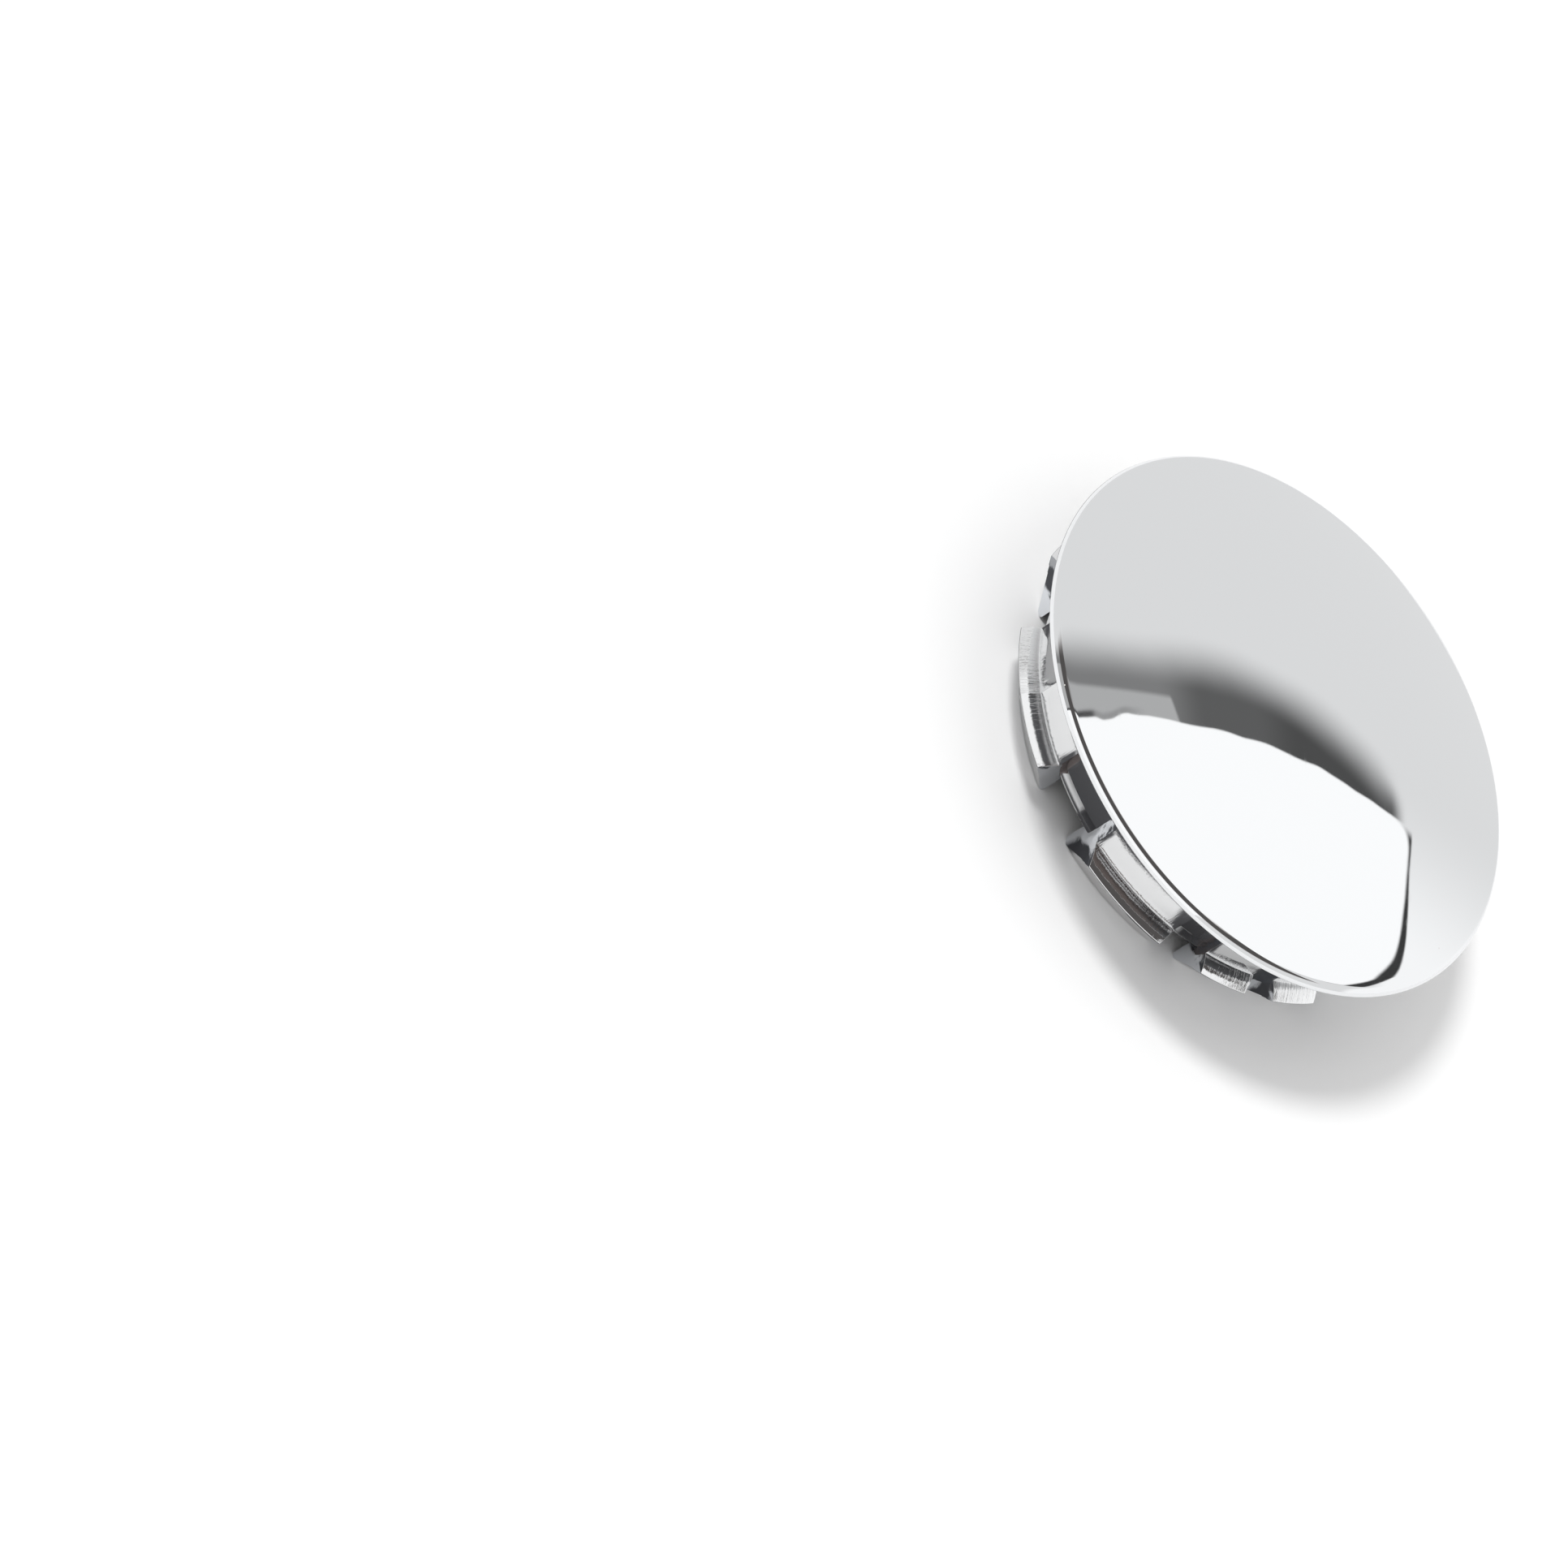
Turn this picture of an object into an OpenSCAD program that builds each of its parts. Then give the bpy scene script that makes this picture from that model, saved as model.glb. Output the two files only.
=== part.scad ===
/* [Face] */
// Outside diameter of the cap
cap_d = 68; // [64:0.5:76]
// Height of the middle of the domed face above the widest line of the cap
crown_h = 6.4; // [4:0.1:8]
// Radius of the rounded edge between the face and the widest line
edge_r = 1.15; // [0.6:0.05:1.6]
// Height of the straight land below the rounded edge
edge_land = 0.2; // [0.1:0.05:0.8]
// Thickness of the domed face
face_t = 2; // [1.4:0.1:2.4]

/* [Ring wall] */
// Outside diameter of the ring wall behind the face
ring_d = 55.4; // [50:0.2:56.6]
// Thickness of the ring wall
ring_t = 1; // [0.8:0.05:1.6]
// Depth of the ring wall between the tabs, below the widest line
ring_depth = 9.8; // [6:0.1:11]
// Radius of the fillet between the ring wall and the back of the face
root_r = 0.8; // [0.3:0.1:1.5]

/* [Clip tabs] */
// How far the stem of a tab stands out from the ring wall
stem_out = 1.3; // [0.8:0.1:2]
// How far the crest of the catch stands out from the stem
catch_out = 2; // [1:0.1:2.6]
// Length of the stem, below the widest line
stem_h = 8; // [5:0.1:10]
// Height of the catch, from the end of the stem to the crest
catch_h = 1.2; // [0.8:0.1:2]
// Height of the lead-in, from the crest to the tip
lead_h = 4.3; // [3:0.1:6]
// Radius of the rounded crest
crest_r = 0.15; // [0.1:0.05:0.4]

/* [Tab layout] */
// Arc of each long tab, at its crest
long_arc = 33.6; // [20:0.2:36]
// Arc of each middle tab, at its crest
mid_arc = 22.2; // [12:0.2:24]
// Arc of each short tab, at its crest
short_arc = 12; // [8:0.2:14]
// Gap between a long tab and a middle tab
long_gap = 23.4; // [12:0.2:25]
// Gap between the two short tabs of a pair, with the deep wall behind it
pair_gap = 8; // [5:0.2:10]
// Angle between the plain ends of the tabs and the radius there
end_cut = 14; // [0:1:20]
// Angle between the radius and the end of a middle tab that faces a long tab
wide_cut = 40; // [20:1:45]

/* [Back of the face] */
// Number of flat ejector pads
pad_n = 6; // [3:1:8]
// Diameter of each pad
pad_d = 4; // [3:0.5:6]
// Least height of a pad over the back of the face
pad_h = 0.2; // [0.1:0.05:0.4]
// Radius of the circle that the pads stand on
pad_pitch_r = 15; // [8:0.5:20]

/* [Hidden] */
$fn = 96;
cap_r = cap_d / 2;
ring_r = ring_d / 2;
ring_in = ring_r - ring_t;
stem_r = ring_r + stem_out;
catch_r = stem_r + catch_out;
tab_depth = stem_h + catch_h + lead_h;
// the face is part of a sphere that the rounded edge touches from inside
edge_x = cap_r - edge_r;
face_r = (edge_x * edge_x + crown_h * crown_h - edge_r * edge_r) / (2 * (crown_h - edge_r));
face_y = crown_h - face_r;
touch_x = edge_x * face_r / (face_r - edge_r);
back_r = face_r - face_t;
// where the middle and the short tabs begin, counted from the middle of a long tab
mid_from = long_arc / 2 + long_gap;
short_from = 90 - pair_gap / 2 - short_arc;

// height of a sphere about the centre of the face, at a distance from the axis
function dome_y(r, x) = face_y + sqrt(r * r - x * x);

// normal of the line that touches two circles on the same side
function side_normal(c1, r1, c2, r2, side) =
  let (d = c2 - c1, a = atan2(d[1], d[0]) + side * acos((r1 - r2) / norm(d)))
  [cos(a), sin(a)];

// angle about the axis between a tab's crest corner and its cut end at a smaller radius
function cut_reach(r, cut) =
  let (t = catch_r * cos(cut) - sqrt(r * r - pow(catch_r * sin(cut), 2)))
  atan2(t * sin(cut), catch_r - t * cos(cut));

// section of the face with its rounded edge and the flat seat under the rim
module face_section() {
  difference() {
    union() {
      intersection() {
        translate([0, face_y]) circle(r = face_r, $fn = 480);
        square([touch_x, crown_h + 1]);
      }
      intersection() {
        translate([edge_x, 0]) circle(r = edge_r);
        square([cap_r, edge_r]);
      }
      translate([0, -edge_land]) square([cap_r, edge_land + 0.01]);
    }
    intersection() {
      translate([0, face_y]) circle(r = back_r, $fn = 480);
      translate([0, -edge_land - 1]) square([ring_in, crown_h + edge_land + 1]);
    }
  }
}

// section of the ring wall between two heights, with its lower edge rounded
module ring_section(bottom, top) {
  translate([ring_in, bottom + ring_t / 2]) square([ring_t, top - bottom - ring_t / 2]);
  translate([ring_in + ring_t / 2, bottom + ring_t / 2]) circle(d = ring_t, $fn = 48);
}

// section of the fillet that touches the ring wall and the back of the face
module root_section() {
  c = [ring_in - root_r, dome_y(back_r - root_r, ring_in - root_r)];
  out = (c - [0, face_y]) / (back_r - root_r);
  difference() {
    polygon([
      c, [ring_in + ring_t / 2, c[1]], [ring_in + ring_t / 2, c[1] + root_r],
      c + (root_r + face_t / 4) * out
    ]);
    translate(c) circle(r = root_r, $fn = 48);
  }
}

// section of a tab: wall, stem, catch, rounded crest and the long lead-in to the round tip
module tab_section() {
  corner = [stem_r, -stem_h];
  crest = [catch_r - crest_r, -stem_h - catch_h];
  tip = [ring_in + ring_t / 2, -tab_depth + ring_t / 2];
  step = [ring_in, -ring_depth + ring_t];
  upper = side_normal(corner, 0, crest, crest_r, 1);
  lower = side_normal(crest, crest_r, tip, ring_t / 2, 1);
  polygon([
    [tip[0], 0], [stem_r, 0], corner, crest + crest_r * upper, crest, crest + crest_r * lower,
    tip + ring_t / 2 * lower, tip, [ring_in, tip[1]], step, [tip[0], step[1]]
  ]);
  translate(crest) circle(r = crest_r, $fn = 48);
  translate(tip) circle(d = ring_t, $fn = 48);
}

// block whose one side is the cut end of a tab that lies clockwise of it
module end_cutter(cut) {
  translate([catch_r, 0, -tab_depth - 1]) rotate([0, 0, -cut])
    translate([-catch_r / 2, 0, 0]) cube([catch_r, catch_r / 4, tab_depth + 2]);
}

// one tab about the X axis, its two ends cut at their own angles
module tab(arc, cut_lo, cut_hi) {
  lo = arc / 2 + cut_reach(ring_in, cut_lo) + 1;
  hi = arc / 2 + cut_reach(ring_in, cut_hi) + 1;
  difference() {
    rotate([0, 0, -lo]) rotate_extrude(angle = lo + hi) tab_section();
    rotate([0, 0, arc / 2]) end_cutter(cut_hi);
    rotate([0, 0, -arc / 2]) mirror([0, 1, 0]) end_cutter(cut_lo);
  }
}

// a middle tab and a short tab, with all gaps counted from the middle of a long tab
module tab_group() {
  rotate([0, 0, mid_from + mid_arc / 2]) tab(mid_arc, wide_cut, end_cut);
  rotate([0, 0, short_from + short_arc / 2]) tab(short_arc, end_cut, end_cut);
}

// flat discs on the back of the face, where the pins of the mould push
module pads() {
  low = dome_y(back_r, pad_pitch_r + pad_d / 2) - pad_h;
  for (i = [0 : pad_n - 1])
    rotate([0, 0, (i + 0.5) * 360 / pad_n]) translate([pad_pitch_r, 0, low])
      cylinder(d = pad_d, h = dome_y(back_r, pad_pitch_r - pad_d / 2) + face_t / 4 - low, $fn = 48);
}

module cap() {
  color([0.78, 0.79, 0.8]) translate([0, 0, tab_depth]) {
    rotate_extrude() {
      face_section();
      ring_section(-ring_depth, dome_y(back_r, ring_in) + face_t / 4);
      root_section();
    }
    pads();
    for (turn = [0, 180]) rotate([0, 0, turn]) {
      tab(long_arc, end_cut, end_cut);
      tab_group();
      mirror([0, 1, 0]) tab_group();
      // behind the gap of each pair of short tabs the wall reaches their full depth
      rotate([0, 0, 90 - pair_gap / 2 - short_arc / 4])
        rotate_extrude(angle = pair_gap + short_arc / 2) ring_section(-tab_depth, -ring_depth / 2);
    }
  }
}

cap();
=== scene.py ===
import bpy
import math
from mathutils import Matrix, Vector


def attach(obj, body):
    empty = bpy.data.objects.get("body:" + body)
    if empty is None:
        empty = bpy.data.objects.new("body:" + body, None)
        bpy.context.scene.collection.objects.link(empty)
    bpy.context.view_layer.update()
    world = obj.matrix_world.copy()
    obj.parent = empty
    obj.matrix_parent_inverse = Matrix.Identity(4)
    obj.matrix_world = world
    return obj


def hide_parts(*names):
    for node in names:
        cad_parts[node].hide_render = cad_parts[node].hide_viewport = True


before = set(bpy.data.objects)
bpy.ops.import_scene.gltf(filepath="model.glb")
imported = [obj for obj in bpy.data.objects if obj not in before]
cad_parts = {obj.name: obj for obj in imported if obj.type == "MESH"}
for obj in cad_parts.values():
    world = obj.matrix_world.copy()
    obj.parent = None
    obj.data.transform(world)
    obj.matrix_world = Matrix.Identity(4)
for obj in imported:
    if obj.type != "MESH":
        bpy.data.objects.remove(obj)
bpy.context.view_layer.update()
bpy.context.scene.view_settings.view_transform = "Standard"
mm = 0.001


def clearSelection():
    if bpy.context.object and bpy.context.object.mode != "OBJECT":
        bpy.ops.object.mode_set(mode="OBJECT")
    bpy.ops.object.select_all(action="DESELECT")


def pick(piece):
    clearSelection()
    piece.select_set(True)
    bpy.context.view_layer.objects.active = piece


def selectFaces(piece, wanted):
    # wanted(centre, normal) says which faces end up selected
    bpy.ops.object.mode_set(mode="OBJECT")
    for e in piece.data.edges:
        e.select = False
    for v in piece.data.vertices:
        v.select = False
    for p in piece.data.polygons:
        p.select = bool(wanted(p.center, p.normal))
    bpy.ops.object.mode_set(mode="EDIT")


def tidyMesh(piece, merge=0.002 * mm):
    bpy.ops.object.mode_set(mode="EDIT")
    bpy.ops.mesh.select_all(action="SELECT")
    bpy.ops.mesh.remove_doubles(threshold=merge)
    bpy.ops.mesh.normals_make_consistent(inside=False)
    bpy.ops.object.mode_set(mode="OBJECT")


def joinAs(name, pieces, smooth):
    # one mesh out of all the pieces, shaded smooth up to an angle in degrees
    pick(pieces[0])
    for p in pieces:
        p.select_set(True)
    bpy.ops.object.join()
    piece = bpy.context.object
    piece.name = name
    bpy.ops.object.shade_smooth_by_angle(angle=math.radians(smooth))
    return piece


def drawProfile(name, points, closed=False):
    # one vertex at the first point, extruded from point to point in the XZ plane
    clearSelection()
    x, z = points[0]
    bpy.ops.mesh.primitive_plane_add(size=0.1 * mm, location=(x * mm, 0, z * mm))
    piece = bpy.context.object
    piece.name = name
    bpy.ops.object.transform_apply(location=True, rotation=True, scale=True)
    bpy.ops.object.mode_set(mode="EDIT")
    bpy.ops.mesh.select_mode(type="VERT")
    bpy.ops.mesh.select_all(action="SELECT")
    bpy.ops.mesh.merge(type="CENTER")
    for (x0, z0), (x1, z1) in zip(points, points[1:]):
        bpy.ops.mesh.extrude_region_move(
            TRANSFORM_OT_translate={"value": ((x1 - x0) * mm, 0, (z1 - z0) * mm)})
    bpy.ops.mesh.select_all(action="SELECT")
    if closed:
        bpy.ops.mesh.edge_face_add()
        bpy.ops.mesh.select_all(action="SELECT")
    return piece


def sweepSection(piece, steps, lowAt, highAt, places=None):
    # spin the drawn section one radian, then slide each row of it along its own circle, so
    # that it ends exactly at lowAt(radius) and highAt(radius), both in degrees; places
    # gives each row's share of the way where the rows aren't even
    bpy.ops.mesh.spin(steps=steps, angle=1.0, center=(0, 0, 0), axis=(0, 0, 1))
    bpy.ops.object.mode_set(mode="OBJECT")
    verts = piece.data.vertices
    turned = [math.atan2(v.co.y, v.co.x) for v in verts]
    sign = 1 if max(turned) > 0.5 else -1
    for v, a in zip(verts, turned):
        share = min(max(sign * a, 0), 1)
        if places:
            share = places[round(share * steps)]
        r = math.hypot(v.co.x, v.co.y)
        low, high = lowAt(r / mm), highAt(r / mm)
        at = math.radians(low + (high - low) * share)
        v.co.x, v.co.y = r * math.cos(at), r * math.sin(at)
    tidyMesh(piece, 0.001 * mm)


def arcPoints(centre, r, start, end, steps):
    # points on an arc of the profile, angles in degrees from the +X side
    return [(centre[0] + r * math.cos(math.radians(start + (end - start) * i / steps)),
             centre[1] + r * math.sin(math.radians(start + (end - start) * i / steps)))
            for i in range(steps + 1)]


def sideNormal(c1, r1, c2, r2):
    # direction, in degrees, from both centres to the line that touches the two circles
    dx, dz = c2[0] - c1[0], c2[1] - c1[1]
    return math.degrees(math.atan2(dz, dx) + math.acos((r1 - r2) / math.hypot(dx, dz)))


camera = {"place": (414.548, 298.982, 419.167),
          "right": (-0.790375, 0.082816, 0.607), "up": (0.221347, -0.885282, 0.409),
          "back": (0.571238, 0.457621, 0.681374), "lens": 130.434, "sensor": 36,
          "clip": (0.01, 50)}


def placeCamera(s):
    clearSelection()
    bpy.ops.object.camera_add()
    cam = bpy.context.object
    cam.name = "photoCamera"
    cam.data.lens = s["lens"]
    cam.data.sensor_width = s["sensor"]
    cam.data.clip_start, cam.data.clip_end = s["clip"]
    turn = Matrix((s["right"], s["up"], s["back"])).transposed().to_4x4()
    cam.matrix_world = Matrix.Translation(Vector(s["place"]) * mm) @ turn
    bpy.context.scene.camera = cam
    print("camera placed")


placeCamera(camera)

# domed face, rim, seat and the short ring wall: one section, spun once
capShell = {"rimRadius": 34.0, "crown": 6.4, "edgeRadius": 1.15, "land": 0.2, "faceThick": 2.0,
            "ringRadius": 27.7, "ringThick": 1.0, "ringDepth": 9.8, "rootRadius": 0.8,
            "tabDepth": 13.5, "lipRound": 0.2, "nookRound": 0.25,
            # the wall's last bit is a hair thinner, below a short slope
            "bandHeight": 1.6, "bandSet": 0.06, "bandSlope": 0.07,
            # rows along the straight parts, then the steps of each round part
            "seatRows": (32.5, 31, 29.5), "outerRows": (3, 6), "innerRows": (7, 4, 1.5),
            "edgeSteps": 22, "lipSteps": 8, "nookSteps": 5, "footSteps": 18, "rootSteps": 10,
            "steps": 288, "domeSteps": 40, "backSteps": 24, "closest": 0.004, "smooth": 35}


def domeHeight(s, drop, x):
    # height of the face's sphere, or of one drop millimetres inside it, at a distance from
    # the axis, and the face's radius
    ex = s["rimRadius"] - s["edgeRadius"]
    r = (ex * ex + s["crown"] ** 2 - s["edgeRadius"] ** 2) / (2 * (s["crown"] - s["edgeRadius"]))
    return s["crown"] - r + math.sqrt((r - drop) ** 2 - x * x), r


def shellSection(s):
    z0 = s["tabDepth"]
    _, r = domeHeight(s, 0, 0)
    ex = s["rimRadius"] - s["edgeRadius"]
    touch = ex * r / (r - s["edgeRadius"])
    lean = math.degrees(math.asin(touch / r))
    rings = [touch * i / s["domeSteps"] for i in range(s["domeSteps"] + 1)]
    pts = [(x, domeHeight(s, 0, x)[0]) for x in rings]
    pts += arcPoints((ex, 0), s["edgeRadius"], 90 - lean, 0, s["edgeSteps"])[1:]
    lip = s["lipRound"]
    pts += arcPoints((s["rimRadius"] - lip, -s["land"] + lip), lip, 0, -90, s["lipSteps"])
    rr, rt = s["ringRadius"], s["ringThick"]
    nook = s["nookRound"]
    pts += [(x, -s["land"]) for x in s["seatRows"]]
    pts += arcPoints((rr + nook, -s["land"] - nook), nook, 90, 180, s["nookSteps"])
    deep = -s["ringDepth"]
    band, dent, slope = deep + s["bandHeight"], s["bandSet"], s["bandSlope"]
    pts += [(rr, -row) for row in s["outerRows"]]
    pts += [(rr, band + 2 * slope), (rr - dent * 0.2, band + slope), (rr - dent, band)]
    half = (rt - dent) / 2
    pts += arcPoints((rr - dent - half, deep + half), half, 0, -180, s["footSteps"])
    inner = rr - rt
    root = s["rootRadius"]
    cz = domeHeight(s, s["faceThick"] + root, inner - root)[0]
    backR = r - s["faceThick"]
    tx = (inner - root) * backR / (backR - root)
    tz = domeHeight(s, s["faceThick"], tx)[0]
    top = math.degrees(math.atan2(tz - cz, tx - inner + root))
    pts += [(inner, -row) for row in s["innerRows"]]
    pts += arcPoints((inner - root, cz), root, 0, top, s["rootSteps"])
    rings = [tx * i / s["backSteps"] for i in range(s["backSteps"] - 1, -1, -1)]
    pts += [(x, domeHeight(s, s["faceThick"], x)[0]) for x in rings]
    clean = [pts[0]]
    for p in pts[1:]:
        if math.dist(p, clean[-1]) > s["closest"]:
            clean.append(p)
    return [(x, z + z0) for x, z in clean]


def makeShell(s):
    piece = drawProfile("cap_shell", shellSection(s))
    bpy.ops.mesh.spin(steps=s["steps"], angle=2 * math.pi, center=(0, 0, 0), axis=(0, 0, 1))
    tidyMesh(piece)
    pick(piece)
    bpy.ops.object.shade_smooth_by_angle(angle=math.radians(s["smooth"]))
    print("shell spun:", len(piece.data.polygons), "faces")
    return piece


shell = makeShell(capShell)

# behind the gap of each pair of short tabs the wall goes down to the tabs' full depth
deepWall = {"middles": (90, 270), "arc": 14.0, "steps": 16, "slack": 0.02,
            "belowSeat": 0.4, "rows": (5, 9), "footSteps": 14, "smooth": 35}


def makeDeepWalls(s, shellSet):
    z0 = shellSet["tabDepth"]
    out = shellSet["ringRadius"]
    inner = shellSet["ringRadius"] - shellSet["ringThick"] + s["slack"]
    half = (out - inner) / 2
    walls = []
    upper, lower = s["rows"]
    for middle in s["middles"]:
        section = [(out, z0 - s["belowSeat"]), (out, z0 - upper), (out, z0 - lower)]
        section += arcPoints((out - half, half + s["slack"]), half, 0, -180, s["footSteps"])
        section += [(inner, z0 - lower), (inner, z0 - upper)]
        piece = drawProfile("deepWall", section, closed=True)
        sweepSection(piece, s["steps"], lambda r: middle - s["arc"] / 2,
                     lambda r: middle + s["arc"] / 2)
        walls.append(piece)
    print("deep walls made")
    return joinAs("deep_walls", walls, s["smooth"])


# clip tabs: stem, catch, rounded crest and a long lead-in down to the tip
clipTabs = {"stem": 29.0, "catch": 31.0, "catchStart": 8.0, "catchDepth": 9.2, "crestRadius": 0.15,
            "nookRadius": 0.04, "catchBulge": 0.13, "catchRows": 8, "nookSteps": 6,
            # the crest's round begins some degrees late, the tip's a little early
            "crestSteps": 8, "crestLate": 6, "tipSteps": 12, "tipEarly": 4,
            # the stem starts this far over the rim's widest line, the foot steps into the wall
            "overSeat": 0.4, "stemRows": (2.5, 5, 6.8), "stepUp": 9.3, "stepRow": 2,
            "stepIn": 27.2,
            # only the cut ends are faces with more corners than this
            "endCorners": 8, "degreesPerStep": 1.05,
            "endCut": 14.0, "wideCut": 40.0, "edgeRound": 0.36, "edgeSteps": 4, "smooth": 28,
            # faint tool lines along the lead-in: depth, length and places by share
            "ledge": 0.07, "ledgeLong": 0.015, "ledgeAt": (0.16, 0.3),
            # moulding seam across the long tabs, below and outside of these
            "seamHigh": 0.05, "seamHalf": 0.11, "seamTop": 12.5, "seamFrom": 28.0, "seamOff": 0.02,
            "longArc": 30,
            # middle of each tab in one half turn, its arc, and its two end cuts
            "tabs": [(0, 33.6, "endCut", "endCut"), (51.3, 22.2, "wideCut", "endCut"),
                     (80, 12, "endCut", "endCut"), (100, 12, "endCut", "endCut"),
                     (128.7, 22.2, "endCut", "wideCut")]}


def tabSection(s, shellSet):
    z0 = shellSet["tabDepth"]
    rt = shellSet["ringThick"] / 2
    inner = shellSet["ringRadius"] - 2 * rt
    corner = (s["stem"], -s["catchStart"])
    crest = (s["catch"] - s["crestRadius"], -s["catchDepth"])
    tip = (inner + rt, -z0 + rt)
    up = sideNormal(corner, 0, crest, s["crestRadius"])
    low = sideNormal(crest, s["crestRadius"], tip, rt)
    low = low if low < up else low - 360
    # concave round between stem and catch: its centre lies outside of both
    nr = s["nookRadius"]
    cut = nr * math.tan(math.radians(up) / 2)
    pts = [(s["stepIn"], s["overSeat"]), (s["stem"], s["overSeat"])]
    pts += [(s["stem"], -row) for row in s["stemRows"]]
    pts += arcPoints((s["stem"] + nr, corner[1] + cut), nr, 180, 180 + up, s["nookSteps"])
    # the catch is a little crowned
    a = math.radians(up)
    first = pts[-1]
    last = (crest[0] + s["crestRadius"] * math.cos(a), crest[1] + s["crestRadius"] * math.sin(a))
    for i in range(1, s["catchRows"]):
        t = i / s["catchRows"]
        rise = s["catchBulge"] * 4 * t * (1 - t)
        pts.append((first[0] + (last[0] - first[0]) * t + rise * math.cos(a),
                    first[1] + (last[1] - first[1]) * t + rise * math.sin(a)))
    pts += arcPoints(crest, s["crestRadius"], up - s["crestLate"], low, s["crestSteps"])
    # the lead-in, with two faint ledges near the crest
    a = math.radians(low)
    start = (crest[0] + s["crestRadius"] * math.cos(a), crest[1] + s["crestRadius"] * math.sin(a))
    end = (tip[0] + rt * math.cos(a), tip[1] + rt * math.sin(a))
    sink = 0.0
    for at in s["ledgeAt"]:
        for t, extra in ((at, 0), (at + s["ledgeLong"], s["ledge"])):
            d = sink + extra
            pts.append((start[0] + (end[0] - start[0]) * t - d * math.cos(a),
                        start[1] + (end[1] - start[1]) * t - d * math.sin(a)))
        sink += s["ledge"]
    tipR = rt - sink / 2
    tipC = (inner + tipR, -z0 + tipR)
    pts += arcPoints(tipC, tipR, low + s["tipEarly"], -180, s["tipSteps"])
    pts += [(inner, -s["stepUp"] - s["stepRow"]), (inner, -s["stepUp"])]
    pts += [(s["stepIn"], -s["stepUp"])]
    return [(x, z + z0) for x, z in pts]


def makeTab(s, shellSet, middle, arc, loCut, hiCut):
    piece = drawProfile("clip", tabSection(s, shellSet), closed=True)
    steps = 2 * round(arc / s["degreesPerStep"] / 2)

    def reach(r, cut):
        # the end is a plane through the crest's corner that leans by cut degrees
        return arc / 2 - cut + math.degrees(math.asin(s["catch"] * math.sin(math.radians(cut)) / r))

    places = [i / steps for i in range(steps + 1)]
    long = arc > s["longArc"]
    if long:
        # two rows close to the middle one carry the seam's feet
        near = math.degrees(s["seamHalf"] / s["stem"]) / arc
        places[steps // 2 - 1], places[steps // 2 + 1] = 0.5 - near, 0.5 + near
    sweepSection(piece, steps, lambda r: middle - reach(r, loCut),
                 lambda r: middle + reach(r, hiCut), places)
    if long:
        for v in piece.data.vertices:
            off = math.degrees(math.atan2(v.co.y, v.co.x)) - middle
            onMiddle = abs((off + 180) % 360 - 180) < s["seamOff"]
            r = math.hypot(v.co.x, v.co.y)
            if onMiddle and v.co.z < s["seamTop"] * mm and r > s["seamFrom"] * mm:
                grow = min(1 + s["seamHigh"] * mm / r, s["catch"] * mm / r)
                v.co.x, v.co.y = v.co.x * grow, v.co.y * grow
    # both cut ends get a rounded edge
    ends = {tuple(p.center) for p in piece.data.polygons if len(p.vertices) > s["endCorners"]}
    selectFaces(piece, lambda c, n: tuple(c) in ends)
    bpy.ops.mesh.select_mode(type="FACE")
    bpy.ops.mesh.region_to_loop()
    bpy.ops.mesh.bevel(offset=s["edgeRound"] * mm, offset_type="OFFSET", segments=s["edgeSteps"],
                       profile=0.5, clamp_overlap=True)
    tidyMesh(piece, 0.0005 * mm)
    return piece


def makeTabs(s, shellSet):
    clips = []
    for middle, arc, lo, hi in s["tabs"]:
        for turn in (0, 180):
            clips.append(makeTab(s, shellSet, middle + turn, arc, s[lo], s[hi]))
    piece = joinAs("clip_tabs", clips, s["smooth"])
    print("tabs made:", len(piece.data.polygons), "faces")
    return piece


walls = makeDeepWalls(deepWall, capShell)
tabs = makeTabs(clipTabs, capShell)

# flat pads on the back of the face, where the mould's pins push
ejectorPads = {"count": 6, "radius": 2.0, "pitch": 15.0, "high": 0.2, "sunk": 0.6,
               "edge": 0.08, "edgeSteps": 3, "dish": 0.05, "dishFrom": 0.28, "dishSlope": 0.1,
               "corners": 64, "smooth": 35}


def makePads(s, shellSet):
    z0 = shellSet["tabDepth"]
    low = domeHeight(shellSet, shellSet["faceThick"], s["pitch"] + s["radius"])[0] - s["high"] + z0
    top = domeHeight(shellSet, shellSet["faceThick"], s["pitch"] - s["radius"])[0] + s["sunk"] + z0
    pads = []
    for i in range(s["count"]):
        a = math.radians((i + 0.5) * 360 / s["count"])
        x, y = s["pitch"] * math.cos(a), s["pitch"] * math.sin(a)
        clearSelection()
        bpy.ops.mesh.primitive_cylinder_add(
            vertices=s["corners"], radius=s["radius"] * mm, depth=(top - low) * mm,
            location=(x * mm, y * mm, (top + low) / 2 * mm))
        pad = bpy.context.object
        bpy.ops.object.transform_apply(location=True, rotation=True, scale=True)
        selectFaces(pad, lambda c, n: n.z < -0.9)
        bpy.ops.mesh.bevel(offset=s["edge"] * mm, offset_type="OFFSET", segments=s["edgeSteps"],
                           affect="EDGES")
        selectFaces(pad, lambda c, n: n.z < -0.99)
        bpy.ops.mesh.inset(thickness=s["dishFrom"] * mm, depth=0)
        bpy.ops.mesh.inset(thickness=s["dishSlope"] * mm, depth=-s["dish"] * mm)
        tidyMesh(pad, 0.0005 * mm)
        pads.append(pad)
    print("pads made")
    return joinAs("ejector_pads", pads, s["smooth"])


pads = makePads(ejectorPads, capShell)

for piece in (shell, walls, tabs, pads):
    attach(piece, "root")
    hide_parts("cap")


def node(tree, kind, **values):
    n = tree.nodes.new(kind)
    for k, v in values.items():
        setattr(n, k, v)
    return n


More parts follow.
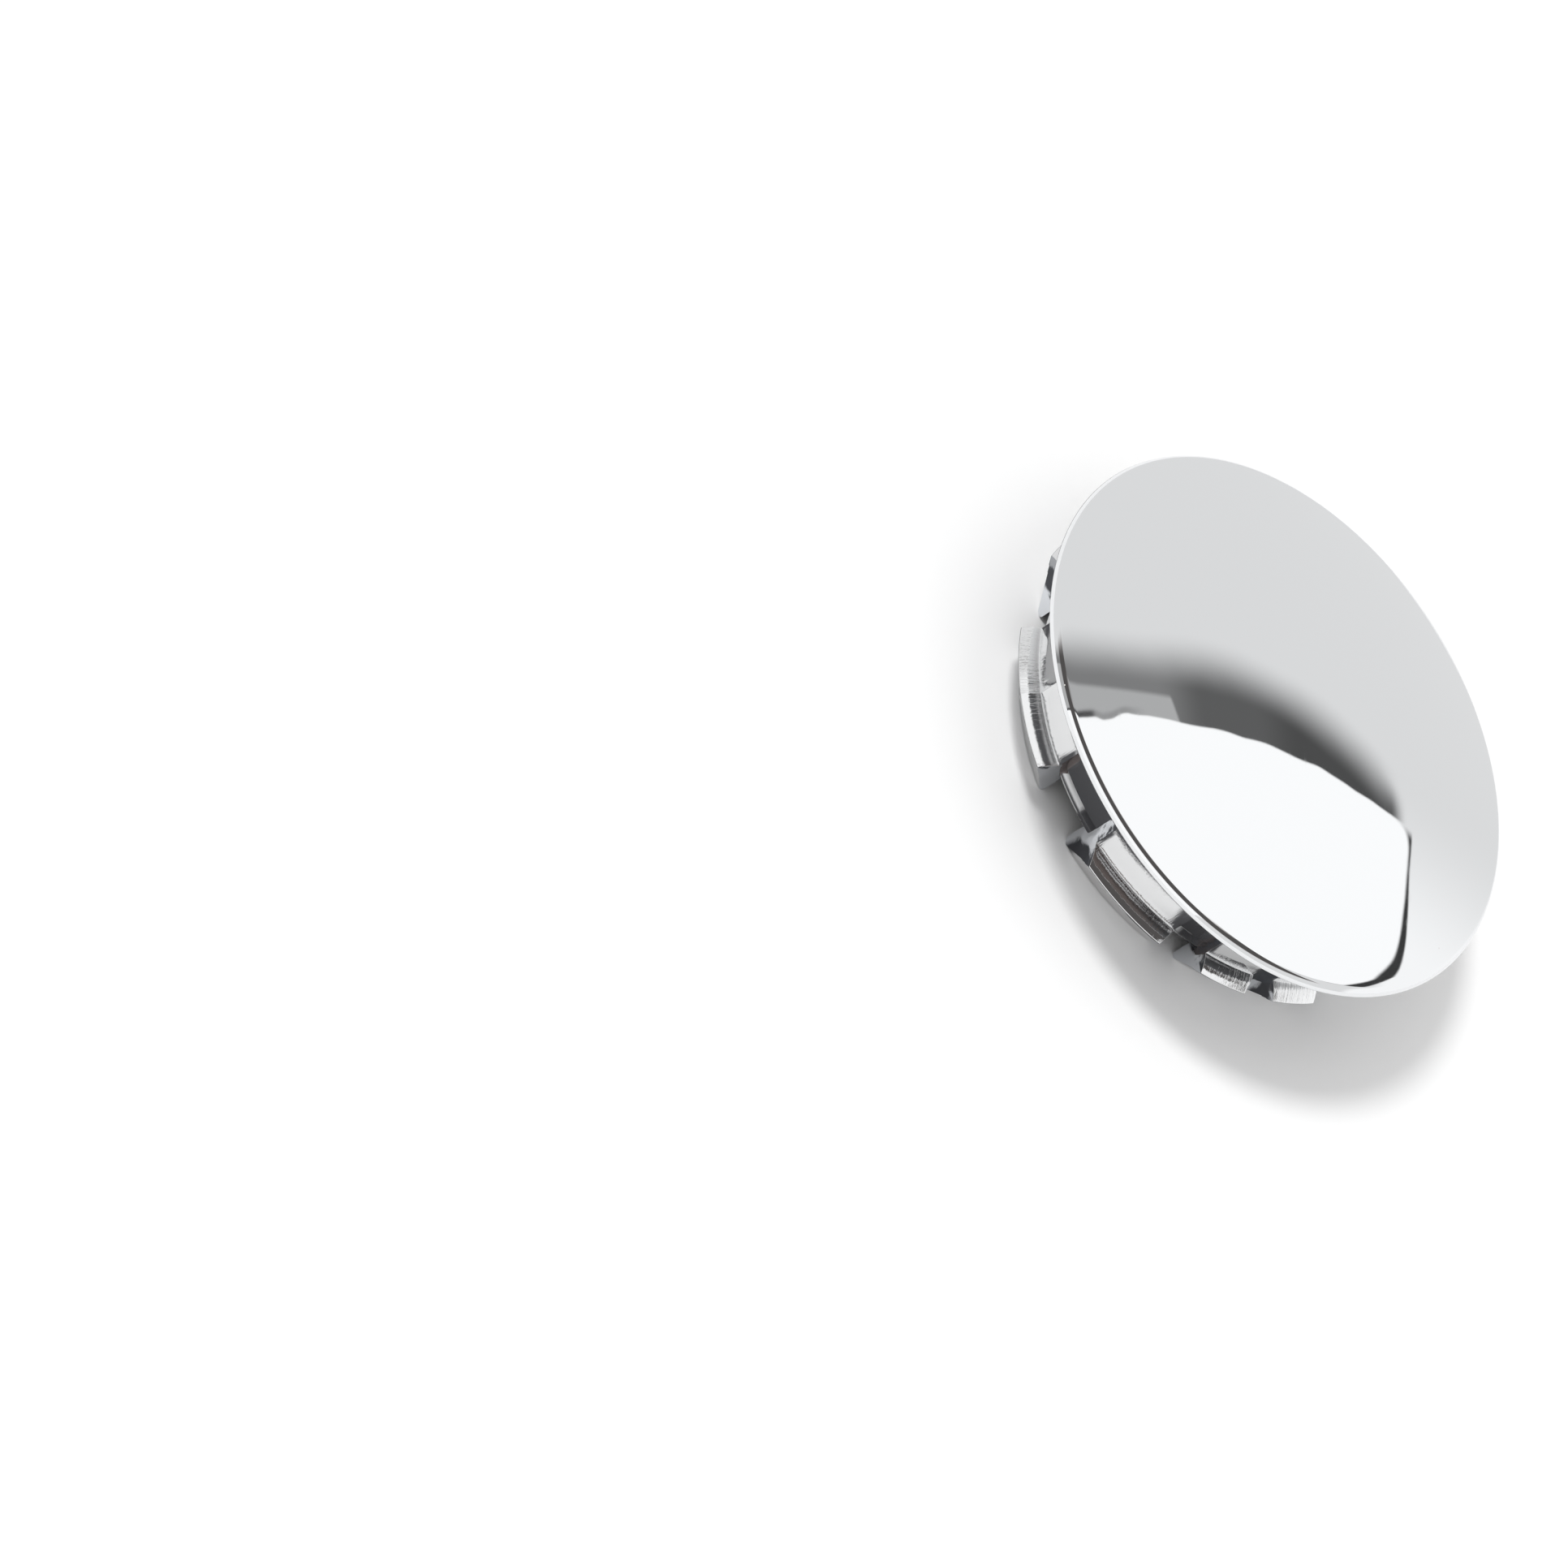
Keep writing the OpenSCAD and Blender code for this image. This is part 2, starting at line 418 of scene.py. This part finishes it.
def plug(tree, socket, value):
    # a number or a colour goes on the socket, anything else is linked to it
    if isinstance(value, (int, float, tuple)):
        socket.default_value = value
    else:
        tree.links.new(value, socket)


def maths(tree, op, a, b=None, c=None, clamp=False):
    n = node(tree, "ShaderNodeMath", operation=op, use_clamp=clamp)
    for i, v in enumerate((a, b, c)):
        if v is not None:
            plug(tree, n.inputs[i], v)
    return n.outputs[0]


def ramp(tree, value, lo, hi):
    # 0 below lo, 1 above hi, smooth between; the other way round where lo is above hi
    n = node(tree, "ShaderNodeMapRange", interpolation_type="SMOOTHSTEP")
    plug(tree, n.inputs["Value"], value)
    n.inputs["From Min"].default_value = min(lo, hi)
    n.inputs["From Max"].default_value = max(lo, hi)
    if lo > hi:
        n.inputs["To Min"].default_value = 1
        n.inputs["To Max"].default_value = 0
    return n.outputs["Result"]


def between(tree, value, low, high, soft):
    # 1 from low to high, with soft edges
    return maths(tree, "MULTIPLY", ramp(tree, value, low - soft, low + soft),
                 ramp(tree, value, high + soft, high - soft))


def blendValue(tree, low, high, mask):
    # low where the mask is 0, high where it is 1
    n = node(tree, "ShaderNodeMix", data_type="FLOAT")
    for i, v in ((0, mask), (2, low), (3, high)):
        plug(tree, n.inputs[i], v)
    return n.outputs[0]


def blendColour(tree, low, high, mask):
    n = node(tree, "ShaderNodeMix", data_type="RGBA")
    for i, v in ((0, mask), (6, low), (7, high)):
        plug(tree, n.inputs[i], v)
    return n.outputs[2]


def noise(tree, vector, scale, detail=2.0, rough=0.5):
    n = node(tree, "ShaderNodeTexNoise")
    plug(tree, n.inputs["Vector"], vector)
    plug(tree, n.inputs["Scale"], scale)
    n.inputs["Detail"].default_value = detail
    n.inputs["Roughness"].default_value = rough
    return n.outputs["Fac"]


def startGroup(name, inputs, outputs):
    group = bpy.data.node_groups.new(name, "ShaderNodeTree")
    for label, kind, value in inputs:
        socket = group.interface.new_socket(name=label, in_out="INPUT", socket_type=kind)
        if value is not None:
            socket.default_value = value
    for label in outputs:
        group.interface.new_socket(name=label, in_out="OUTPUT", socket_type="NodeSocketFloat")
    return group, node(group, "NodeGroupInput"), node(group, "NodeGroupOutput")


number, direction = "NodeSocketFloat", "NodeSocketVector"


def polarParts(tree, vector):
    # angle, radius and height about the cap's axis
    split = node(tree, "ShaderNodeSeparateXYZ")
    plug(tree, split.inputs[0], vector)
    x, y, z = split.outputs
    angle = maths(tree, "ARCTAN2", y, x)
    radius = maths(tree, "SQRT", maths(tree, "ADD", maths(tree, "MULTIPLY", x, x),
                                       maths(tree, "MULTIPLY", y, y)))
    return angle, radius, z


def makePlatingWaves():
    # slow swell of a polished and plated surface, and the finer peel that lies in it
    g, i, o = startGroup("platingWaves", [("Vector", direction, None), ("Swell per m", number, 90),
                                          ("Peel per m", number, 900), ("Peel share", number, 0.1)],
                         ["Height"])
    swell = noise(g, i.outputs[0], i.outputs[1], 1)
    peel = noise(g, i.outputs[0], i.outputs[2], 2)
    g.links.new(maths(g, "ADD", swell, maths(g, "MULTIPLY", peel, i.outputs[3])), o.inputs[0])
    return g


# all in metres: the tabs' stems stand 29 mm from the axis, the catch lies between two heights
dragMarks = {"around": 0.029, "catchTop": (0.0066, 0.0055), "catchLow": (0.0041, 0.0044),
             "patchesPerMetre": 420.0, "strong": (0.52, 0.7), "inPatches": (0.42, 0.62)}


def makeDragLines(s):
    # fine lines along the mould's draw: narrow round the axis, long in height
    # deep on the catch, faint on the stem above it and on the lead-in below
    g, i, o = startGroup("dragLines", [("Vector", direction, None), ("Lines per m", number, 7000),
                                       ("Stretch", number, 0.12), ("Faint share", number, 0.12)],
                         ["Height", "Mask"])
    place, perMetre, stretch, faint = i.outputs[:4]
    angle, radius, z = polarParts(g, place)
    join = node(g, "ShaderNodeCombineXYZ")
    g.links.new(maths(g, "MULTIPLY", angle, s["around"]), join.inputs[0])
    g.links.new(maths(g, "MULTIPLY", radius, stretch), join.inputs[1])
    g.links.new(maths(g, "MULTIPLY", z, stretch), join.inputs[2])
    fine = noise(g, join.outputs[0], perMetre, 3, 0.6)
    patches = noise(g, place, s["patchesPerMetre"], 1)
    onCatch = maths(g, "MULTIPLY", ramp(g, z, *s["catchTop"]), ramp(g, z, *s["catchLow"]))
    share = maths(g, "ADD", faint, maths(g, "MULTIPLY", onCatch, maths(g, "SUBTRACT", 1, faint)))
    g.links.new(maths(g, "MULTIPLY", fine, share), o.inputs[0])
    mask = maths(g, "MULTIPLY", ramp(g, fine, *s["strong"]), ramp(g, patches, *s["inPatches"]))
    g.links.new(mask, o.inputs[1])
    return g


# two families of hairlines: their turn about the axis and how far they are drawn out
handling = {"smear": (0.45, 0.75), "tilt": (0.2, 0.1), "hairs": [(0.5, 0.03), (2.1, 0.045)],
            "hairline": (0.66, 0.74)}


def makeHandling(s):
    # wiped smears and hairlines left by handling
    g, i, o = startGroup("handlingMarks",
                         [("Vector", direction, None), ("Smears per m", number, 70),
                          ("Hairlines per m", number, 1500)], ["Smear", "Hairline"])
    smear = ramp(g, noise(g, i.outputs[0], i.outputs[1], 4, 0.6), *s["smear"])
    lines = []
    for turn, stretch in s["hairs"]:
        m = node(g, "ShaderNodeMapping")
        g.links.new(i.outputs[0], m.inputs["Vector"])
        m.inputs["Rotation"].default_value = (*s["tilt"], turn)
        m.inputs["Scale"].default_value = (1, stretch, 1)
        lines.append(ramp(g, noise(g, m.outputs[0], i.outputs[2], 1), *s["hairline"]))
    g.links.new(smear, o.inputs[0])
    g.links.new(maths(g, "MAXIMUM", lines[0], lines[1]), o.inputs[1])
    return g


def makeDust():
    # single grains of dust, far apart
    g, i, o = startGroup("dustGrains", [("Vector", direction, None), ("Cells per m", number, 420),
                                        ("Grain", number, 0.06), ("Share", number, 0.1)], ["Mask"])
    cells = node(g, "ShaderNodeTexVoronoi")
    g.links.new(i.outputs[0], cells.inputs["Vector"])
    g.links.new(i.outputs[1], cells.inputs["Scale"])
    split = node(g, "ShaderNodeSeparateColor")
    g.links.new(cells.outputs["Color"], split.inputs[0])
    chosen = maths(g, "LESS_THAN", split.outputs[0], i.outputs[3])
    size = maths(g, "MULTIPLY", i.outputs[2], maths(g, "ADD", split.outputs[1], 0.4))
    grain = maths(g, "LESS_THAN", cells.outputs["Distance"], size)
    g.links.new(maths(g, "MULTIPLY", chosen, grain), o.inputs[0])
    return g


# in metres: where shade is painted and the plating is thin, inside the ring wall, and in the nooks
# between it and the seat
nookShadeAreas = {"inside": (0.0268, 0.0255), "nook": 0.0285, "high": (0.008, 0.0133),
                "patchesPerMetre": 260.0, "uneven": (0.25, 0.7)}


def makePlatingAndNookShade(s):
    # painted shade, and thinner plating where the bath reaches badly: in the nooks by the wall,
    # under the seat and inside
    g, i, o = startGroup("platingAndNookShade", [("Vector", direction, None), ("Reach m", number, 0.004)],
                         ["Mask"])
    _, radius, z = polarParts(g, i.outputs[0])
    inside = ramp(g, radius, *s["inside"])
    away = maths(g, "ABSOLUTE", maths(g, "SUBTRACT", radius, s["nook"]))
    nook = maths(g, "SUBTRACT", 1, maths(g, "DIVIDE", away, i.outputs[1]), clamp=True)
    high = ramp(g, z, *s["high"])
    mask = maths(g, "MAXIMUM", inside, maths(g, "MULTIPLY", nook, high))
    uneven = ramp(g, noise(g, i.outputs[0], s["patchesPerMetre"], 3), *s["uneven"])
    g.links.new(maths(g, "MULTIPLY", mask, maths(g, "ADD", maths(g, "MULTIPLY", uneven, 0.5), 0.5)),
                o.inputs[0])
    return g


platingWaves, dragLines = makePlatingWaves(), makeDragLines(dragMarks)
handlingMarks, dustGrains = makeHandling(handling), makeDust()
platingAndNookShade = makePlatingAndNookShade(nookShadeAreas)

# one dictionary for each finish: heights are in metres, lines are their height and number
# each dull tone stands for thin plating and painted shade, and shows where the nook mask lies
mirrorFace = {"name": "mirrorFace", "tone": (0.795, 0.805, 0.815, 1), "dullAndShaded": (0.70, 0.71, 0.72, 1),
              "rough": (0.016, 0.05), "swell": 70.0, "peel": 700.0, "peelShare": 0.05,
              "waves": 0.0000045, "lines": None, "hairs": 0.015,
              "thinAndShade": 0.0, "dust": 0.035, "grain": 0.045}
clipFinish = {"name": "clipChrome", "tone": (0.80, 0.805, 0.81, 1), "dullAndShaded": (0.50, 0.46, 0.44, 1),
              "rough": (0.035, 0.12), "swell": 320.0, "peel": 2600.0, "peelShare": 0.16,
              "waves": 0.000014, "lines": (0.000045, 4200.0), "hairs": 0.03,
              "thinAndShade": 0.5, "dust": 0.05, "grain": 0.06}
# the inner chrome's darker tone is painted shade under the rim as well as thinner plating
backFinish = {"name": "innerChrome", "tone": (0.72, 0.725, 0.73, 1), "dullAndShaded": (0.46, 0.45, 0.45, 1),
              "rough": (0.06, 0.2), "swell": 120.0, "peel": 1500.0, "peelShare": 0.12,
              "waves": 0.00001, "lines": (0.000005, 5000.0), "hairs": 0.05,
              "thinAndShade": 1.0, "dust": 0.09, "grain": 0.07}
# the ends' bluer tone is a painted reflection of blue shade
endFinish = {"name": "endChrome", "tone": (0.78, 0.80, 0.83, 1), "dullAndShaded": (0.60, 0.61, 0.63, 1),
             "rough": (0.05, 0.16), "swell": 480.0, "peel": 1500.0, "peelShare": 0.12,
             "waves": 0.00013, "lines": None, "hairs": 0.03,
             "thinAndShade": 0.2, "dust": 0.05, "grain": 0.06}
dustTone = (0.62, 0.60, 0.57, 1)
# what each trace adds: smears blend, bare places with painted shade and lines go by the rough end,
# dust is flat
roughBy = {"smear": 0.45, "bareAndShaded": 0.7, "lines": 0.4, "dust": 0.6}


def makeChrome(s):
    mat = bpy.data.materials.new(s["name"])
    mat.use_nodes = True
    tree = mat.node_tree
    bsdf = tree.nodes["Principled BSDF"]
    place = node(tree, "ShaderNodeTexCoord").outputs["Object"]

    def effect(group, **values):
        n = node(tree, "ShaderNodeGroup")
        n.node_tree = group
        tree.links.new(place, n.inputs["Vector"])
        for label, v in values.items():
            n.inputs[label.replace("_", " ")].default_value = v
        return n

    def plus(value, mask, share, clamp=False):
        return maths(tree, "ADD", value, maths(tree, "MULTIPLY", mask, share), clamp=clamp)

    waves = effect(platingWaves, Swell_per_m=s["swell"], Peel_per_m=s["peel"],
                   Peel_share=s["peelShare"])
    marks = effect(handlingMarks)
    dust = effect(dustGrains, Share=s["dust"], Grain=s["grain"])
    thinAndShade = effect(platingAndNookShade)
    # towards the dull tone in the nooks, under the seat and inside: thin plating and painted shade
    bareAndShaded = maths(tree, "MULTIPLY", thinAndShade.outputs["Mask"], s["thinAndShade"])
    tone = blendColour(tree, s["tone"], s["dullAndShaded"], bareAndShaded)
    tone = blendColour(tree, tone, dustTone, dust.outputs["Mask"])
    tree.links.new(tone, bsdf.inputs["Base Color"])
    tree.links.new(maths(tree, "SUBTRACT", 1, dust.outputs["Mask"]), bsdf.inputs["Metallic"])
    low, high = s["rough"]
    smear = maths(tree, "MULTIPLY", marks.outputs["Smear"], roughBy["smear"])
    rough = blendValue(tree, low, high, smear)
    rough = plus(rough, bareAndShaded, high * roughBy["bareAndShaded"])
    rough = plus(rough, marks.outputs["Hairline"], s["hairs"])
    height = maths(tree, "MULTIPLY", waves.outputs["Height"], s["waves"])
    if s["lines"]:
        deep, perMetre = s["lines"]
        lines = effect(dragLines, Lines_per_m=perMetre)
        rough = plus(rough, lines.outputs["Mask"], high * roughBy["lines"])
        height = plus(height, lines.outputs["Height"], deep)
    rough = plus(rough, dust.outputs["Mask"], roughBy["dust"], clamp=True)
    tree.links.new(rough, bsdf.inputs["Roughness"])
    bump = node(tree, "ShaderNodeBump")
    bump.inputs["Distance"].default_value = 1.0
    tree.links.new(height, bump.inputs["Height"])
    tree.links.new(bump.outputs[0], bsdf.inputs["Normal"])
    return mat


faceMat, clipMat = makeChrome(mirrorFace), makeChrome(clipFinish)
backMat, endMat = makeChrome(backFinish), makeChrome(endFinish)
# all that lies behind the rim takes the duller finish: rougher, thinner plating, and a darker tone
# that is painted shade under the rim
behind = {"seat": 13.31, "rim": 33.9, "hollow": 26.8, "hollowTop": 14, "facesDown": -0.2}


def dullAndShadeBehind(piece, s):
    for p in piece.data.polygons:
        r, z = math.hypot(p.center.x, p.center.y) / mm, p.center.z / mm
        under = z < s["seat"] and r < s["rim"]
        within = z < s["hollowTop"] and r < s["hollow"]
        if under or within or p.normal.z < s["facesDown"]:
            p.material_index = 1


shell.data.materials.append(faceMat)
shell.data.materials.append(backMat)
dullAndShadeBehind(shell, behind)
tabs.data.materials.append(clipMat)
tabs.data.materials.append(endMat)
for p in tabs.data.polygons:
    # the flat ends came rougher out of the mould; their bluer tone is a painted tint of the blue
    # shade they reflect
    p.material_index = 1 if len(p.vertices) > clipTabs["endCorners"] else 0
walls.data.materials.append(backMat)
pads.data.materials.append(backMat)
print("chrome put on")

# pale paper; polished metal also sees painted shade on it close round the cap, where no dark thing
# stands
# angles are in degrees about its axis, distances in mm from it
studio = {"floorSize": 6.0, "floorRough": 0.9, "floorColour": (0.9, 0.9, 0.9, 1),
          "paintedShadeSeen": (0.075, 0.075, 0.08, 1),
          # how soft the edges are that face the cap, that face away, and those far out, in mm
          "softIn": 0.4, "softOut": 0.7, "softFar": 1.0,
          # a ring of painted shade close round the cap, narrow past the last finger, and an outer
          # one
          "ring": (30.8, 35.1), "ringPast": (28.6, 31.0), "past": (94, 98), "pastOut": (79, 81),
          "outer": (39.2, 44.0), "outerEnd": (79, 73),
          # fingers of painted shade: from and to angle, reach
          "fingers": [(12, 37.5, 39), (66.5, 81.5, 39), (93, 104, 34.6)],
          # and where the ring comes closer in: from and to angle, inner radius
          "notches": [(27.5, 36, 27.3), (55, 65, 28.4), (70, 92, 28.5)], "notchEnd": (31.6, 30.8),
          "side": (-74, -10.5, 39), "sideTone": 0.6,
          # the painted shade that a second bounce sees is darker, and warmer in front
          "paintedShadeSecond": (0.05, 0.05, 0.055, 1), "paintedWarmShadeSecond": (0.10, 0.07, 0.06, 1),
          "secondTone": 0.92, "secondAngles": (-21, 119), "secondReach": 62,
          "warmFrom": (12, 20), "warmTo": (72, 66)}


def makeFloor(s):
    clearSelection()
    bpy.ops.mesh.primitive_grid_add(x_subdivisions=4, y_subdivisions=4, size=s["floorSize"])
    floor = bpy.context.object
    floor.name = "floor"
    mat = bpy.data.materials.new("palePaper")
    mat.use_nodes = True
    tree = mat.node_tree
    bsdf = tree.nodes["Principled BSDF"]
    bsdf.inputs["Roughness"].default_value = s["floorRough"]
    angle, radius, _ = polarParts(tree, node(tree, "ShaderNodeTexCoord").outputs["Object"])
    turn = maths(tree, "MULTIPLY", angle, 180 / math.pi)
    reach = maths(tree, "MULTIPLY", radius, 1 / mm)

    def times(a, b):
        return maths(tree, "MULTIPLY", a, b)

    def larger(a, b):
        return maths(tree, "MAXIMUM", a, b)

    def past(edge, soft):
        # 1 outside of an edge that is itself a value; a minus sign on soft turns it round
        return ramp(tree, maths(tree, "SUBTRACT", reach, edge), -soft, soft)

    def starts(at):
        return ramp(tree, reach, at - s["softIn"], at + s["softIn"])

    def stops(at, soft):
        return ramp(tree, reach, at + soft, at - soft)

    inner = blendValue(tree, s["ring"][0], s["ringPast"][0], ramp(tree, turn, *s["past"]))
    outer = blendValue(tree, s["ring"][1], s["ringPast"][1], ramp(tree, turn, *s["pastOut"]))
    clear = past(inner, s["softIn"])
    dark = times(clear, past(outer, -s["softOut"]))
    start, stop = s["outer"]
    far = times(starts(start), stops(stop, s["softFar"]))
    dark = larger(dark, times(far, ramp(tree, turn, *s["outerEnd"])))

    def sector(low, high, end, soft=1.0):
        return times(times(between(tree, turn, low, high, soft), clear), stops(end, s["softOut"]))

    for finger in s["fingers"]:
        dark = larger(dark, sector(*finger))
    dark = larger(dark, times(sector(*s["side"], 0.5), s["sideTone"]))
    for low, high, start in s["notches"]:
        m = times(between(tree, turn, low, high, 1), starts(start))
        dark = larger(dark, times(m, ramp(tree, reach, *s["notchEnd"])))
    light = node(tree, "ShaderNodeLightPath")
    # the painted shade shows only in reflections, the camera sees plain paper
    dark = times(dark, light.outputs["Is Glossy Ray"])
    first = blendColour(tree, s["floorColour"], s["paintedShadeSeen"], dark)
    mask = between(tree, turn, *s["secondAngles"], 2)
    mask = times(mask, stops(s["secondReach"], s["softFar"]))
    warm = times(ramp(tree, turn, *s["warmFrom"]), ramp(tree, turn, *s["warmTo"]))
    second = blendColour(tree, s["paintedShadeSecond"], s["paintedWarmShadeSecond"], warm)
    second = blendColour(tree, s["floorColour"], second, times(mask, s["secondTone"]))
    bounced = maths(tree, "GREATER_THAN", light.outputs["Glossy Depth"], 1.5)
    tree.links.new(blendColour(tree, first, second, bounced), bsdf.inputs["Base Color"])
    floor.data.materials.append(mat)
    print("floor laid")


makeFloor(studio)

# two pale cards round the rim: only the chrome sees them, on the outer part of the catches
# each has its from and to angle, and the distance of its inner edge
paleCards = {"sectors": [(-13, 16, 34.1), (72, 94, 36.4)], "far": 46.0, "high": 13.1,
             "steps": 8, "level": 1.1}


def makeCards(s):
    mat = bpy.data.materials.new("paleCard")
    mat.use_nodes = True
    tree = mat.node_tree
    tree.nodes.clear()
    glow = node(tree, "ShaderNodeEmission")
    glow.inputs["Strength"].default_value = s["level"]
    tree.links.new(glow.outputs[0], node(tree, "ShaderNodeOutputMaterial").inputs[0])
    for low, high, near in s["sectors"]:
        card = drawProfile("paleCard", [(near, s["high"]), (s["far"], s["high"])])
        sweepSection(card, s["steps"], lambda r: low, lambda r: high)
        card.visible_camera = card.visible_diffuse = card.visible_shadow = False
        card.data.materials.append(mat)
    print("cards laid round the rim")


makeCards(paleCards)

# the room as the chrome sees it, by the X, Y and Z of a direction
# a pair is where something starts and where it is full, or the middle of an edge and how soft
room = {"wall": 0.86, "plain": 0.8, "backdrop": 1.0,
        # a bright sheet overhead. Its edge: height, bow and where the bow starts, then where it
        # rises and how fast, and a dip between four X with its depth
        "sheet": 1.2, "sheetEdge": (-0.357, 0.33, -0.40), "edgeRise": (-0.22, 0.2),
        "edgeDip": (-0.215, -0.18, -0.142, -0.165, 0.009), "sheetEnd": -0.803,
        "sheetCorner": 0.743, "diagonal": 0.7071, "cornerRound": 0.1, "sheetRound": 0.05,
        "sheetSoft": 0.003,
        # no edge is quite straight: how often it sways, how far, and the other edges' shares
        "swayPer": 9.0, "sway": 0.016, "swayInside": 0.4, "swayFar": 0.7,
        # a dark gap before that edge: its tones and where they lie, its far side like the edge
        "gap": 0.13, "gapNear": 0.25, "nearAt": (-0.40, -0.29), "gapDeep": 0.088,
        "deepAt": (-0.50, -0.60), "gapFar": (-0.479, 0.92, -0.395), "gapSoft": 0.055,
        "gapNarrow": (-0.74, -0.80), "gapEnd": (-0.80, -0.77),
        # a window in the gap, with a darker sill on the sheet's side
        "window": 0.5, "windowTop": (-0.406, 0.007), "windowSide": (-0.419, 0.004),
        "windowLean": 0.235, "sill": 0.36, "sillEnd": 0.09, "sillEndAt": (-0.15, -0.135),
        "sillAt": (-0.014, 0.006), "sillSide": (-0.24, 0.03),
        # a thin dark line round the sheet's far end: its width and what the corner adds to it
        "line": 0.05, "lineWidth": (0.004, 0.011), "widerAt": (-0.26, -0.04),
        "lineSoft": 0.002, "lineEdge": (0.01, 0.01), "lineAt": (-0.62, -0.68),
        # beyond the far end it is brighter than the wall
        "beside": 1.14, "besideY": (-0.38, -0.08), "besideX": (-0.74, -0.79),
        # the side that the camera stands on is darker between eye height and overhead
        "ownSide": 0.10, "ownTint": (1.0, 0.94, 0.92, 1), "ownWay": (0.81, 0.585),
        "ownAt": (-0.215, -0.185), "ownY": (-0.56, -0.44), "beltLow": (0.5, 0.6),
        "beltHigh": (0.95, 0.88), "beltLift": 0.06, "liftAt": (0.05, 0.2)}


def makeWorld(s):
    world = bpy.data.worlds.new("studioRoom")
    bpy.context.scene.world = world
    world.use_nodes = True
    tree = world.node_tree
    tree.nodes.clear()
    out = node(tree, "ShaderNodeOutputWorld")
    back = node(tree, "ShaderNodeBackground")
    place = node(tree, "ShaderNodeTexCoord").outputs["Generated"]
    split = node(tree, "ShaderNodeSeparateXYZ")
    tree.links.new(place, split.inputs[0])
    x, y, z = split.outputs

    def add(a, b):
        return maths(tree, "ADD", a, b)

    def take(a, b):
        return maths(tree, "SUBTRACT", a, b)

    def times(a, b):
        return maths(tree, "MULTIPLY", a, b)

    def over(value, low, high):
        return ramp(tree, value, low, high)

    def step(value, middle, soft):
        return ramp(tree, value, middle - soft, middle + soft)

    def blend(low, high, mask):
        return blendValue(tree, low, high, mask)

    def bowed(height, bow, start):
        past = maths(tree, "MAXIMUM", take(start, x), 0)
        return add(times(times(past, past), bow), height)

    # the sheet
    sway = times(take(noise(tree, place, s["swayPer"], 1), 0.5), s["sway"])
    riseFrom, rise = s["edgeRise"]
    edge = add(bowed(*s["sheetEdge"]), times(maths(tree, "MAXIMUM", add(x, -riseFrom), 0), rise))
    a, b, c, d, dip = s["edgeDip"]
    edge = add(edge, times(times(over(x, a, b), over(x, c, d)), dip))
    pastEdge = take(add(y, sway), edge)
    overEdge = step(pastEdge, 0, s["sheetSoft"])
    corner = times(add(take(x, y), s["sheetCorner"]), s["diagonal"])
    inside = maths(tree, "SMOOTH_MIN", take(x, s["sheetEnd"]), corner, s["cornerRound"])
    inside = add(inside, times(sway, s["swayInside"]))
    onSheet = maths(tree, "SMOOTH_MIN", pastEdge, inside, s["sheetRound"])
    sheet = step(onSheet, 0, s["sheetSoft"])

    # the gap: deepest next to the sheet, fading out over a long way
    far = add(bowed(*s["gapFar"]), times(sway, s["swayFar"]))
    drop = take(y, far)
    soft = s["gapSoft"]
    gap = blend(over(drop, -soft, soft), over(drop, -soft * 0.5, soft * 0.5),
                over(x, *s["gapNarrow"]))
    gap = times(gap, over(x, *s["gapEnd"]))
    tone = blend(s["gap"], s["gapNear"], over(x, *s["nearAt"]))
    tone = blend(tone, s["gapDeep"], over(x, *s["deepAt"]))
    side = add(x, times(y, s["windowLean"]))
    window = times(step(y, *s["windowTop"]), step(side, *s["windowSide"]))
    tone = blend(tone, s["window"], window)
    sill = blend(s["sill"], s["sillEnd"], over(x, *s["sillEndAt"]))
    tone = blend(tone, sill, times(step(pastEdge, *s["sillAt"]), step(x, *s["sillSide"])))

    # the line
    least, more = s["lineWidth"]
    width = add(times(over(y, *s["widerAt"]), more), least)
    line = times(step(add(inside, width), 0, s["lineSoft"]), step(pastEdge, *s["lineEdge"]))
    line = times(line, over(x, *s["lineAt"]))

    level = blend(s["wall"], s["beside"], times(over(y, *s["besideY"]), over(x, *s["besideX"])))
    level = blend(level, tone, times(gap, take(1, overEdge)))
    level = blend(level, s["line"], line)
    level = blend(level, s["sheet"], sheet)

    # the camera's side, its belt a little higher towards the camera itself
    wayX, wayY = s["ownWay"]
    near = add(times(x, wayX), times(y, wayY))
    lift = times(over(near, *s["liftAt"]), s["beltLift"])
    belt = times(over(z, *s["beltLow"]), over(take(z, lift), *s["beltHigh"]))
    own = times(times(over(near, *s["ownAt"]), belt), over(y, *s["ownY"]))
    level = blend(level, s["ownSide"], own)
    light = node(tree, "ShaderNodeLightPath")
    level = blend(level, s["plain"], light.outputs["Is Diffuse Ray"])
    level = blend(level, s["backdrop"], light.outputs["Is Camera Ray"])
    tint = times(own, light.outputs["Is Glossy Ray"])
    tree.links.new(blendColour(tree, (1, 1, 1, 1), s["ownTint"], tint), back.inputs["Color"])
    tree.links.new(level, back.inputs["Strength"])
    tree.links.new(back.outputs[0], out.inputs[0])
    print("world made")


makeWorld(room)

keyLamp = {"energy": 1.6, "angle": 14, "azimuth": -44, "height": 55}


def makeLamp(s):
    clearSelection()
    bpy.ops.object.light_add(type="SUN", rotation=(0, 0, 0))
    sun = bpy.context.object
    sun.name = "keyLamp"
    sun.data.energy = s["energy"]
    sun.data.angle = math.radians(s["angle"])
    sun.visible_glossy = False
    az, el = math.radians(s["azimuth"]), math.radians(s["height"])
    aim = Vector((math.cos(az) * math.cos(el), math.sin(az) * math.cos(el), math.sin(el)))
    sun.rotation_euler = aim.to_track_quat("Z", "Y").to_euler()
    print("lamp set")


makeLamp(keyLamp)
